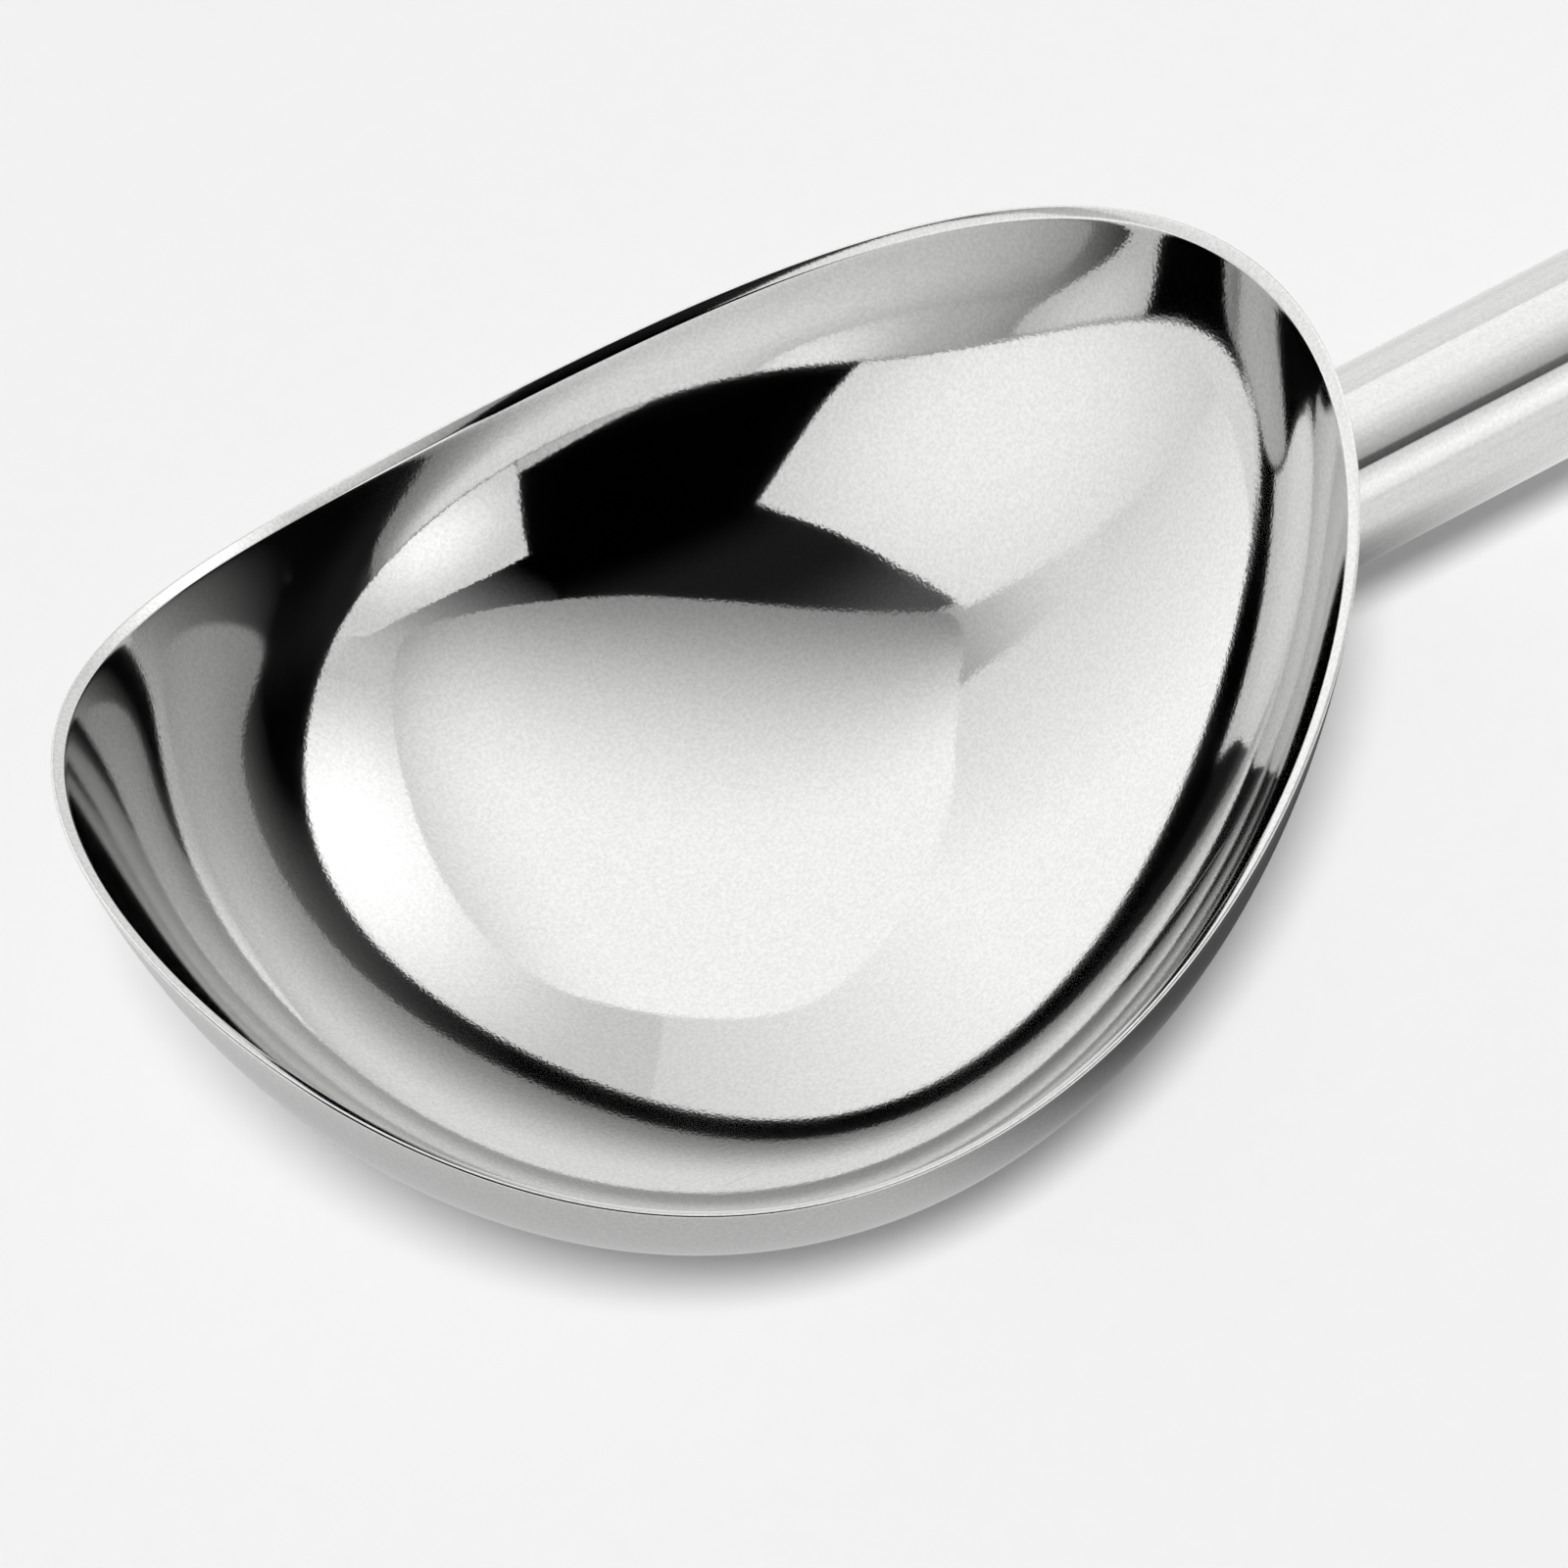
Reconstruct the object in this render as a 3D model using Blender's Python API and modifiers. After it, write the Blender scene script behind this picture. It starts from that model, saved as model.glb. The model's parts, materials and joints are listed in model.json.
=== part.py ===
"""Ice cream scoop: a pressed steel bowl welded to a polished tube handle, lying on a table.

The scoop is drawn along its handle: +X runs from the bowl to the handle's end, Z is square to it
and x = 0 is the bowl's lip at the heel, above the joint. One empty then lays the whole scoop
down, so that the bowl's belly and the handle's end both touch z = 0.
"""
import math

import bmesh
import bpy
from mathutils import Euler, Matrix, Vector
from mathutils.bvhtree import BVHTree

MM = 0.001

# Bowl: lip heights and the floor's drop are measured from the handle's axis
BOWL_LENGTH = 68.8 * MM
BOWL_WIDTH = 59.2 * MM
SHEET = 0.9 * MM
LIP_HEEL_RISE = 15.0 * MM
LIP_TIP_RISE = 16.0 * MM
LIP_SIDE_RISE = 3.2 * MM
LIP_SWEEP = 2.6 * MM
FLOOR_DROP = 12.7 * MM
FLOOR_FROM_HEEL = 37.1 * MM
FLOOR_RADIUS_ALONG = 28.9 * MM
FLOOR_RADIUS_ACROSS = 48.4 * MM
# The wall leaves the floor's curve with this power of the reach, at the sides and at both ends
WALL_POWER_SIDES = 9.4
WALL_POWER_ENDS = 11.6
# Outline seen from above: narrower towards the tip, and fuller than an ellipse at both ends
PLAN_TAPER = -0.073
PLAN_FULLNESS = 0.021

# Handle
TUBE_DIAMETER = 10.0 * MM
TUBE_WALL = 1.0 * MM
HANDLE_LENGTH = 140.0 * MM
NECK_PLUG_LENGTH = 8.0 * MM
WELD_RADIUS = 1.1 * MM
CAP_HEAD_LENGTH = 6.0 * MM
CAP_SPIGOT_LENGTH = 12.0 * MM
CAP_EDGE_RADIUS = 1.0 * MM

# Clearance between pieces that touch
FIT_GAP = 0.3 * MM

# Fineness of the facets; the rings crowd towards the lip, where the wall turns up
BLANK_RINGS = 15
RING_CROWDING = 1.5
BLANK_SPOKES = 72
ROUND_SIDES = 48
WELD_SIDES = 3
EDGE_STEPS = 6
SHARP_ANGLE = math.radians(40)
TILT_HALVINGS = 50

TUBE_RADIUS = TUBE_DIAMETER / 2
BORE_RADIUS = TUBE_RADIUS - TUBE_WALL
PLUG_RADIUS = BORE_RADIUS - FIT_GAP
TUBE_END = HANDLE_LENGTH - CAP_HEAD_LENGTH - FIT_GAP
CUTTER_LID = 2 * max(LIP_HEEL_RISE, LIP_TIP_RISE)
MERGE = 0.001 * MM
AXIS_ALONG_X = Matrix.Rotation(math.pi / 2, 4, "Y")


def clear_scene():
    for item in list(bpy.data.objects):
        bpy.data.objects.remove(item, do_unlink=True)


def collection(name):
    group = bpy.data.collections.new(name)
    bpy.context.scene.collection.children.link(group)
    return group


def steel(name, colour, roughness):
    material = bpy.data.materials.new(name)
    material.use_nodes = True
    shader = material.node_tree.nodes["Principled BSDF"]
    shader.inputs["Base Color"].default_value = (*colour, 1.0)
    shader.inputs["Metallic"].default_value = 1.0
    shader.inputs["Roughness"].default_value = roughness
    return material


def mesh_object(bm, name, group):
    mesh = bpy.data.meshes.new(name)
    bm.to_mesh(mesh)
    bm.free()
    item = bpy.data.objects.new(name, mesh)
    group.objects.link(item)
    return item


def finish_part(item, material):
    """Parts share the empty that lays the scoop down, and show smooth round faces."""
    item.data.materials.append(material)
    item.data.shade_smooth()
    item.data.set_sharp_from_angle(angle=SHARP_ANGLE)
    item.parent = REST


def make_cutter(item):
    item.hide_render = True
    item.display_type = "WIRE"
    item.parent = REST
    return item


def cut(item, cutter):
    change = item.modifiers.new(cutter.name, "BOOLEAN")
    change.operation = "DIFFERENCE"
    change.object = cutter


def lip_point(angle):
    """Inner edge of the lip; the angle is 0 at the heel and pi at the tip."""
    along = math.cos(angle)
    half_length = BOWL_LENGTH / 2
    half_width = BOWL_WIDTH / 2
    x = -half_length + (half_length - SHEET) * along
    plan = 1 + PLAN_TAPER * along + PLAN_FULLNESS * along ** 2
    y = (half_width - SHEET) * math.sin(angle) * plan
    ends_rise = (LIP_HEEL_RISE + LIP_TIP_RISE) / 2 - LIP_SIDE_RISE
    ends_lean = (LIP_HEEL_RISE - LIP_TIP_RISE) / 2 - LIP_SWEEP
    z = LIP_SIDE_RISE + LIP_SWEEP * along + ends_rise * along ** 2 + ends_lean * along ** 3
    return Vector((x, y, z))


def bowl_point(reach, angle):
    """Inside of the bowl, from the middle of the floor (reach 0) out to the lip (reach 1)."""
    lip = lip_point(angle)
    from_middle = lip.x + FLOOR_FROM_HEEL
    depth = lip.z + FLOOR_DROP
    floor = from_middle ** 2 / (2 * FLOOR_RADIUS_ALONG) + lip.y ** 2 / (2 * FLOOR_RADIUS_ACROSS)
    power = WALL_POWER_SIDES + (WALL_POWER_ENDS - WALL_POWER_SIDES) * math.cos(angle) ** 2
    rise = floor * reach ** 2 + (depth - floor) * reach ** power
    return Vector((from_middle * reach - FLOOR_FROM_HEEL, lip.y * reach, rise - FLOOR_DROP))


def pressed_blank(offset):
    """A flat round blank, spun from one spoke and pressed to the bowl, moved out along its normals."""
    bm = bmesh.new()
    rings = range(BLANK_RINGS + 1)
    reaches = [1 - (1 - ring / BLANK_RINGS) ** RING_CROWDING for ring in rings]
    spoke = [bm.verts.new((reach, 0, 0)) for reach in reaches]
    edges = [bm.edges.new(pair) for pair in zip(spoke, spoke[1:])]
    bmesh.ops.spin(bm, geom=spoke + edges, axis=(0, 0, 1), cent=(0, 0, 0), angle=2 * math.pi,
                   steps=BLANK_SPOKES, use_merge=True)
    bmesh.ops.remove_doubles(bm, verts=bm.verts, dist=MERGE)
    for vert in bm.verts:
        vert.co = bowl_point(math.hypot(vert.co.x, vert.co.y), math.atan2(vert.co.y, vert.co.x))
    bmesh.ops.recalc_face_normals(bm, faces=bm.faces)
    bm.normal_update()
    lowest = min(bm.verts, key=lambda vert: vert.co.z)
    if lowest.normal.z < 0:
        bmesh.ops.reverse_faces(bm, faces=bm.faces)
        bm.normal_update()
    places = [vert.co - vert.normal * offset for vert in bm.verts]
    for vert, place in zip(bm.verts, places):
        vert.co = place
    return bm


def bowl_outside(name):
    """The room that the bowl takes up, with its clearance, closed by a lid above the lip."""
    bm = pressed_blank(SHEET + FIT_GAP)
    border = [edge for edge in bm.edges if edge.is_boundary]
    walls = bmesh.ops.extrude_edge_only(bm, edges=border)["geom"]
    for vert in walls:
        if isinstance(vert, bmesh.types.BMVert):
            vert.co.z = CUTTER_LID
    bmesh.ops.holes_fill(bm, edges=[edge for edge in bm.edges if edge.is_boundary])
    bmesh.ops.recalc_face_normals(bm, faces=bm.faces)
    return make_cutter(mesh_object(bm, name, CUTTERS))


def round_bar(radius, start, end):
    bm = bmesh.new()
    place = Matrix.Translation(((start + end) / 2, 0, 0)) @ AXIS_ALONG_X
    bmesh.ops.create_cone(bm, cap_ends=True, segments=ROUND_SIDES, radius1=radius, radius2=radius,
                          depth=end - start, matrix=place)
    return bm


def make_bowl():
    bowl = mesh_object(pressed_blank(0), "bowl", PARTS)
    wall = bowl.modifiers.new("sheet", "SOLIDIFY")
    wall.thickness = SHEET
    wall.offset = -1
    wall.use_even_offset = True
    wall.use_quality_normals = True
    finish_part(bowl, steel("mirror_polished_steel", (0.76, 0.76, 0.76), 0.05))
    return bowl


def make_handle_tube(back, polished):
    tube = mesh_object(round_bar(TUBE_RADIUS, -FLOOR_FROM_HEEL, TUBE_END), "handle_tube", PARTS)
    bore = round_bar(BORE_RADIUS, -2 * FLOOR_FROM_HEEL, TUBE_END + FLOOR_FROM_HEEL)
    cut(tube, make_cutter(mesh_object(bore, "tube_bore", CUTTERS)))
    cut(tube, back)
    finish_part(tube, polished)


def make_neck_plug(back):
    plug = mesh_object(round_bar(PLUG_RADIUS, -FLOOR_FROM_HEEL, NECK_PLUG_LENGTH), "neck_plug", PARTS)
    cut(plug, back)
    finish_part(plug, steel("turned_steel", (0.6, 0.6, 0.6), 0.3))


def joint_line(back):
    """Points where the tube's outside meets the bowl's back, once round the tube."""
    bm = bmesh.new()
    bm.from_mesh(back.data)
    shape = BVHTree.FromBMesh(bm)
    bm.free()
    points = []
    for side in range(ROUND_SIDES):
        angle = 2 * math.pi * side / ROUND_SIDES
        beside = Vector((HANDLE_LENGTH, TUBE_RADIUS * math.cos(angle), TUBE_RADIUS * math.sin(angle)))
        points.append(shape.ray_cast(beside, Vector((-1, 0, 0)))[0])
    return points


def make_neck_weld(back):
    """A bead laid along the joint, of which only what stands outside tube and bowl is left."""
    curve = bpy.data.curves.new("neck_weld_line", "CURVE")
    curve.dimensions = "3D"
    curve.bevel_depth = WELD_RADIUS
    curve.bevel_resolution = WELD_SIDES
    points = joint_line(back)
    line = curve.splines.new("POLY")
    line.points.add(len(points) - 1)
    for point, place in zip(line.points, points):
        point.co = (*place, 1)
    line.use_cyclic_u = True
    bead = bpy.data.objects.new("neck_weld_line", curve)
    PARTS.objects.link(bead)
    seen = bead.evaluated_get(bpy.context.evaluated_depsgraph_get())
    mesh = bpy.data.meshes.new_from_object(seen)
    bpy.data.objects.remove(bead)
    bm = bmesh.new()
    bm.from_mesh(mesh)
    bmesh.ops.remove_doubles(bm, verts=bm.verts, dist=MERGE)
    bmesh.ops.recalc_face_normals(bm, faces=bm.faces)
    weld = mesh_object(bm, "neck_weld", PARTS)
    room = round_bar(TUBE_RADIUS + FIT_GAP, -2 * FLOOR_FROM_HEEL, HANDLE_LENGTH)
    cut(weld, make_cutter(mesh_object(room, "tube_room", CUTTERS)))
    cut(weld, back)
    finish_part(weld, steel("ground_weld_steel", (0.66, 0.66, 0.66), 0.22))


def make_end_cap(polished):
    """A turned plug: a head as wide as the tube with a rounded edge, and a spigot for the bore."""
    bm = bmesh.new()
    outline = [(0, HANDLE_LENGTH)]
    for step in range(EDGE_STEPS + 1):
        angle = math.pi / 2 * (1 - step / EDGE_STEPS)
        across = TUBE_RADIUS - CAP_EDGE_RADIUS * (1 - math.cos(angle))
        outline.append((across, HANDLE_LENGTH - CAP_EDGE_RADIUS * (1 - math.sin(angle))))
    shoulder = HANDLE_LENGTH - CAP_HEAD_LENGTH
    outline.append((TUBE_RADIUS, shoulder))
    outline.append((PLUG_RADIUS, shoulder))
    outline.append((PLUG_RADIUS, shoulder - CAP_SPIGOT_LENGTH))
    outline.append((0, shoulder - CAP_SPIGOT_LENGTH))
    verts = [bm.verts.new((across, 0, along)) for across, along in outline]
    for pair in zip(verts, verts[1:]):
        bm.edges.new(pair)
    cap = mesh_object(bm, "end_cap", PARTS)
    turning = cap.modifiers.new("turned", "SCREW")
    turning.steps = ROUND_SIDES
    turning.render_steps = ROUND_SIDES
    turning.use_merge_vertices = True
    turning.merge_threshold = MERGE
    cap.rotation_euler = (0, math.pi / 2, 0)
    finish_part(cap, polished)
    return cap


def low_points(item):
    """Corners of a finished piece in the scoop's own frame."""
    seen = item.evaluated_get(bpy.context.evaluated_depsgraph_get())
    turn = Euler(item.rotation_euler).to_matrix()
    return [turn @ vert.co for vert in seen.data.vertices]


def lay_down(bowl, cap):
    """Tips the scoop until belly and handle end are level, then centres it over the origin."""
    belly = low_points(bowl)
    end = low_points(cap)
    low, high = 0.0, math.pi / 4
    for _ in range(TILT_HALVINGS):
        middle = (low + high) / 2
        turn = Matrix.Rotation(middle, 3, "Y")
        if min((turn @ place).z for place in end) > min((turn @ place).z for place in belly):
            low = middle
        else:
            high = middle
    turn = Matrix.Rotation(low, 3, "Y")
    laid = [turn @ place for place in belly + end]
    x_places = [place.x for place in laid]
    lowest = min(place.z for place in laid)
    REST.rotation_euler = (0, low, 0)
    REST.location = (-(min(x_places) + max(x_places)) / 2, 0, -lowest)


clear_scene()
PARTS = collection("ice_cream_scoop")
CUTTERS = collection("cutters")
REST = bpy.data.objects.new("scoop_at_rest", None)
PARTS.objects.link(REST)

BOWL = make_bowl()
BOWL_BACK = bowl_outside("bowl_back")
POLISHED_TUBE = steel("polished_tube_steel", (0.74, 0.74, 0.74), 0.07)
make_handle_tube(BOWL_BACK, POLISHED_TUBE)
make_neck_plug(BOWL_BACK)
make_neck_weld(BOWL_BACK)
END_CAP = make_end_cap(POLISHED_TUBE)
lay_down(BOWL, END_CAP)
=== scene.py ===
"""Ice cream scoop on a pale table: the finish and the fine shapes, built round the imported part."""
import json
import math

import bmesh
import bpy
from mathutils import Matrix, Vector
from mathutils.bvhtree import BVHTree


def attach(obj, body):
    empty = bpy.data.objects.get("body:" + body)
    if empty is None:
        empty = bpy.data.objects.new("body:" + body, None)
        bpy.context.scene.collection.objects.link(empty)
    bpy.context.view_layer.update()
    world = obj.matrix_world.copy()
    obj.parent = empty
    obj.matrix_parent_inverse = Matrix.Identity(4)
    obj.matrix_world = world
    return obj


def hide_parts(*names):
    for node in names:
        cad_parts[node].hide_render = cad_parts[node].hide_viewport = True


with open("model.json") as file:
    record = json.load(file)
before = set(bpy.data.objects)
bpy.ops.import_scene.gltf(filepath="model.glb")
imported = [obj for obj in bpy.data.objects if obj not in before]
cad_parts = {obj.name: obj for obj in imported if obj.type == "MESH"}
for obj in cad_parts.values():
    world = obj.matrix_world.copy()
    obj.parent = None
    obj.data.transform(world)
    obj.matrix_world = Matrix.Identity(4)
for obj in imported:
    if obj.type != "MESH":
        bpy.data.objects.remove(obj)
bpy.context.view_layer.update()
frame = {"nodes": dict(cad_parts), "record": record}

# Bowl
# One round blank of stainless sheet, drawn deep at the heel and the tip and lower at the sides.
# The wall is drawn almost straight just below the lip, the lip is ground thin, and the whole bowl is buffed.
MM = 0.001
BOWL_LENGTH = 68.8 * MM
BOWL_WIDTH = 59.2 * MM
SHEET = 0.9 * MM
LIP_HEEL_RISE = 15.0 * MM
LIP_TIP_RISE = 16.0 * MM
LIP_SIDE_RISE = 3.2 * MM
LIP_SWEEP = 2.6 * MM
LIP_EDGE = 0.55 * MM
LIP_THINNING = 45
LIP_TURN = math.radians(34)
LIP_INNER_RADIUS = 0.3 * MM
LIP_OUTER_RADIUS = 0.12 * MM
FLOOR_DROP = 12.7 * MM
FLOOR_FROM_HEEL = 37.1 * MM
FLOOR_RADIUS_ALONG = 28.9 * MM
FLOOR_RADIUS_ACROSS = 48.4 * MM
WALL_POWER_SIDES = 7.2
WALL_POWER_ENDS = 8.5
STRAIGHT_SHARE = 0.33
STRAIGHT_POWER = 36
PLAN_TAPER = -0.073
PLAN_FULLNESS = 0.021
BOWL_RINGS = 84
RING_CROWDING = 1.5
BOWL_SPOKES = 256
LIP_STEPS = 6
AT_THE_LIP = 0.9999
MERGE = 0.001 * MM

# The handle's flat end and its direction say where the scoop's own axis lies in the frame
HANDLE_LENGTH = 140.0 * MM
HANDLE_END = next(mount for mount in frame["record"]["mounts"] if mount["name"] == "handle_end")
HANDLE_WAY = Vector(HANDLE_END["axis"]).normalized()
LAID_DOWN = (
    Matrix.Translation(Vector(HANDLE_END["pos_m"]) - HANDLE_LENGTH * HANDLE_WAY)
    @ Vector((1, 0, 0)).rotation_difference(HANDLE_WAY).to_matrix().to_4x4()
)


def lip_point(angle, inset):
    """A place on the lip, that far in from the bowl's outline.

    The angle is 0 at the heel and pi at the tip.
    """
    along = math.cos(angle)
    half_length = BOWL_LENGTH / 2
    half_width = BOWL_WIDTH / 2
    x = -half_length + (half_length - inset) * along
    plan = 1 + PLAN_TAPER * along + PLAN_FULLNESS * along ** 2
    y = (half_width - inset) * math.sin(angle) * plan
    ends_rise = (LIP_HEEL_RISE + LIP_TIP_RISE) / 2 - LIP_SIDE_RISE
    ends_lean = (LIP_HEEL_RISE - LIP_TIP_RISE) / 2 - LIP_SWEEP
    z = LIP_SIDE_RISE + LIP_SWEEP * along + ends_rise * along ** 2 + ends_lean * along ** 3
    return Vector((x, y, z))


def bowl_point(reach, angle):
    """Inside of the bowl, from the middle of the floor (reach 0) out to the lip (reach 1)."""
    lip = lip_point(angle, SHEET)
    thinned = (lip_point(angle, LIP_EDGE) - lip) * reach ** LIP_THINNING
    from_middle = lip.x + FLOOR_FROM_HEEL
    depth = lip.z + FLOOR_DROP
    floor = from_middle ** 2 / (2 * FLOOR_RADIUS_ALONG) + lip.y ** 2 / (2 * FLOOR_RADIUS_ACROSS)
    power = WALL_POWER_SIDES + (WALL_POWER_ENDS - WALL_POWER_SIDES) * math.cos(angle) ** 2
    wall = (1 - STRAIGHT_SHARE) * reach ** power + STRAIGHT_SHARE * reach ** STRAIGHT_POWER
    rise = floor * reach ** 2 + (depth - floor) * wall
    return Vector((from_middle * reach - FLOOR_FROM_HEEL, lip.y * reach, rise - FLOOR_DROP)) + thinned


def lip_profile():
    """Section of the lip: a round from the wall, a bevel that leans inwards and a tight round to the back.

    Each point is its distance through the sheet from the inside, and its height along the wall.
    """
    turns = [LIP_TURN * step / LIP_STEPS for step in range(LIP_STEPS + 1)]
    points = [(LIP_INNER_RADIUS * (1 - math.cos(turn)), LIP_INNER_RADIUS * math.sin(turn)) for turn in turns]
    outer_start = LIP_EDGE - LIP_OUTER_RADIUS * (1 + math.cos(LIP_TURN))
    outer_climb = (outer_start - points[-1][0]) / math.tan(LIP_TURN)
    middle_through = LIP_EDGE - LIP_OUTER_RADIUS
    middle_height = points[-1][1] + outer_climb - LIP_OUTER_RADIUS * math.sin(LIP_TURN)
    for step in range(2 * LIP_STEPS + 1):
        turn = LIP_TURN + (math.pi - LIP_TURN) * step / (2 * LIP_STEPS)
        points.append((middle_through - LIP_OUTER_RADIUS * math.cos(turn),
                       middle_height + LIP_OUTER_RADIUS * math.sin(turn)))
    top = middle_height + LIP_OUTER_RADIUS
    return [(through, height - top) for through, height in points]


LIP_PROFILE = lip_profile()


def sheet_directions(reach, angle):
    """Straight through the sheet to the outside, and up the wall, at a place on the inside."""
    small = 0.001
    reach = max(reach, 10 * small)
    up = bowl_point(reach, angle) - bowl_point(reach - small, angle)
    around = bowl_point(reach, angle + small) - bowl_point(reach, angle - small)
    return around.cross(up).normalized(), up.normalized(), up.length / small


def section_point(reach, angle, side):
    """A place on the bowl's skin.

    Side is 0 inside and 1 outside, and runs along the lip's profile where they meet.
    """
    out, up, climb = sheet_directions(1, angle)
    if reach > AT_THE_LIP:
        through, height = LIP_PROFILE[round(side * (len(LIP_PROFILE) - 1))]
        return lip_point(angle, LIP_EDGE) + through * out + height * up
    reach *= 1 + LIP_PROFILE[0][1] / climb
    if side < 0.5:
        return bowl_point(reach, angle)
    thickness = SHEET - (SHEET - LIP_EDGE) * reach ** LIP_THINNING
    return bowl_point(reach, angle) + thickness * sheet_directions(reach, angle)[0]


def add_piece(name, bm, *materials):
    """A smooth piece in the scene, made from the mesh that was built."""
    mesh = bpy.data.meshes.new(name)
    bm.to_mesh(mesh)
    bm.free()
    mesh.shade_smooth()
    for material in materials:
        mesh.materials.append(material)
    piece = bpy.data.objects.new(name, mesh)
    bpy.context.scene.collection.objects.link(piece)
    return piece


def linear(hex_colour):
    """An sRGB hex colour as the linear values that a shader takes."""
    parts = [int(hex_colour[place:place + 2], 16) / 255 for place in (1, 3, 5)]
    return [part / 12.92 if part <= 0.04045 else ((part + 0.055) / 1.055) ** 2.4 for part in parts] + [1.0]


def add_node(tree, kind, settings=(), values=(), links=()):
    """Adds a node, with its own settings, its sockets' values and what feeds its sockets."""
    node = tree.nodes.new(kind)
    for name, value in dict(settings).items():
        setattr(node, name, value)
    for socket, value in dict(values).items():
        node.inputs[socket].default_value = value
    for socket, source in dict(links).items():
        tree.links.new(source, node.inputs[socket])
    return node


def new_steel(name, hex_colour):
    """An empty metal material: its node tree, its shader and the object's own coordinates in metres."""
    material = bpy.data.materials.new(name)
    material.use_nodes = True
    tree = material.node_tree
    shader = tree.nodes["Principled BSDF"]
    shader.inputs["Metallic"].default_value = 1.0
    shader.inputs["Base Color"].default_value = linear(hex_colour)
    places = add_node(tree, "ShaderNodeTexCoord").outputs["Object"]
    return material, tree, shader, places


# Mirror-polished stainless steel: buffed on a cotton mop, so it mirrors the room almost cleanly. The mop
# leaves a cloudy haze, a satin grain finer than a millimetre (drawn a little coarser than it is, to show)
# and a few hairlines from use. The ground lip is brighter and a little duller than the rest.
BUFF_CLOUD = 14 * MM
BUFF_GRAIN = 0.2 * MM
HAIRLINE_GAP = 9 * MM
HAIRLINE_LENGTH = 60 * MM
HAIRLINE_TURN = math.radians(52)
mirror_steel, tree, shader, places = new_steel("mirror_polished_stainless_steel", "#E0E0DF")
cloud = add_node(tree, "ShaderNodeTexNoise", values={"Scale": 1 / BUFF_CLOUD, "Detail": 3.0},
                 links={"Vector": places})
grain = add_node(tree, "ShaderNodeTexNoise", values={"Scale": 1 / BUFF_GRAIN, "Detail": 1.0},
                 links={"Vector": places})
haze = add_node(tree, "ShaderNodeMapRange",
                values={"From Min": 0.3, "From Max": 0.7, "To Min": 0.03, "To Max": 0.06},
                links={"Value": cloud.outputs["Fac"]})
slant = add_node(tree, "ShaderNodeMapping",
                 values={"Rotation": (0, 0, HAIRLINE_TURN),
                         "Scale": (1 / HAIRLINE_LENGTH, 1 / HAIRLINE_GAP, 1 / HAIRLINE_LENGTH)},
                 links={"Vector": places})
wander = add_node(tree, "ShaderNodeTexNoise", values={"Scale": 1.0, "Detail": 2.0},
                  links={"Vector": slant.outputs["Vector"]})
off_line = add_node(tree, "ShaderNodeMath", {"operation": "COMPARE"}, {1: 0.5, 2: 0.0012},
                    {0: wander.outputs["Fac"]})
where = add_node(tree, "ShaderNodeMapRange", values={"From Min": 0.55, "From Max": 0.62},
                 links={"Value": cloud.outputs["Fac"]})
hairline = add_node(tree, "ShaderNodeMath", {"operation": "MULTIPLY"},
                    links={0: off_line.outputs["Value"], 1: where.outputs["Result"]})
wear = add_node(tree, "ShaderNodeAttribute", {"attribute_name": "ground_lip"}).outputs["Fac"]
scratched = add_node(tree, "ShaderNodeMath", {"operation": "MULTIPLY_ADD"}, {1: 0.16},
                     {0: hairline.outputs["Value"], 2: haze.outputs["Result"]})
rough = add_node(tree, "ShaderNodeMath", {"operation": "MULTIPLY_ADD"}, {1: 0.03},
                 {0: wear, 2: scratched.outputs["Value"]})
tree.links.new(rough.outputs["Value"], shader.inputs["Roughness"])
speckle = add_node(tree, "ShaderNodeMapRange", values={"From Min": 0.3, "From Max": 0.7},
                   links={"Value": grain.outputs["Fac"]})
tone = add_node(tree, "ShaderNodeMix", {"data_type": "RGBA"},
                values={"A": linear("#D8D8D7"), "B": linear("#E6E6E5")},
                links={"Factor": speckle.outputs["Result"]})
tree.links.new(tone.outputs["Result"], shader.inputs["Base Color"])
dent = add_node(tree, "ShaderNodeBump", values={"Strength": 0.05, "Distance": 0.02 * MM},
                links={"Height": grain.outputs["Fac"]})
tree.links.new(dent.outputs["Normal"], shader.inputs["Normal"])

# Half of the bowl's section is spun flat, with the inside as its top and the lip as its edge, then shaped
bm = bmesh.new()
rings = [1 - (1 - ring / BOWL_RINGS) ** RING_CROWDING for ring in range(BOWL_RINGS + 1)]
lip_sides = [step / (len(LIP_PROFILE) - 1) for step in range(1, len(LIP_PROFILE) - 1)]
inside = [(ring, 0) for ring in rings]
outside = [(ring, 1) for ring in reversed(rings)]
section = inside + [(1, side) for side in lip_sides] + outside
spoke = [bm.verts.new((ring, 0, -side)) for ring, side in section]
edges = [bm.edges.new(pair) for pair in zip(spoke, spoke[1:])]
bmesh.ops.spin(bm, geom=spoke + edges, axis=(0, 0, 1), cent=(0, 0, 0), angle=2 * math.pi,
               steps=BOWL_SPOKES, use_merge=True)
bmesh.ops.remove_doubles(bm, verts=bm.verts, dist=MERGE)
ground = bm.verts.layers.float.new("ground_lip")
for vert in bm.verts:
    ring = math.hypot(vert.co.x, vert.co.y)
    vert[ground] = 1.0 if ring > AT_THE_LIP else 0.0
    vert.co = section_point(ring, math.atan2(vert.co.y, vert.co.x), -vert.co.z)
bmesh.ops.recalc_face_normals(bm, faces=bm.faces)
bmesh.ops.transform(bm, matrix=LAID_DOWN, verts=bm.verts)
bowl = add_piece("pressed_bowl", bm, mirror_steel)
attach(bowl, "root")
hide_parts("bowl")

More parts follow.
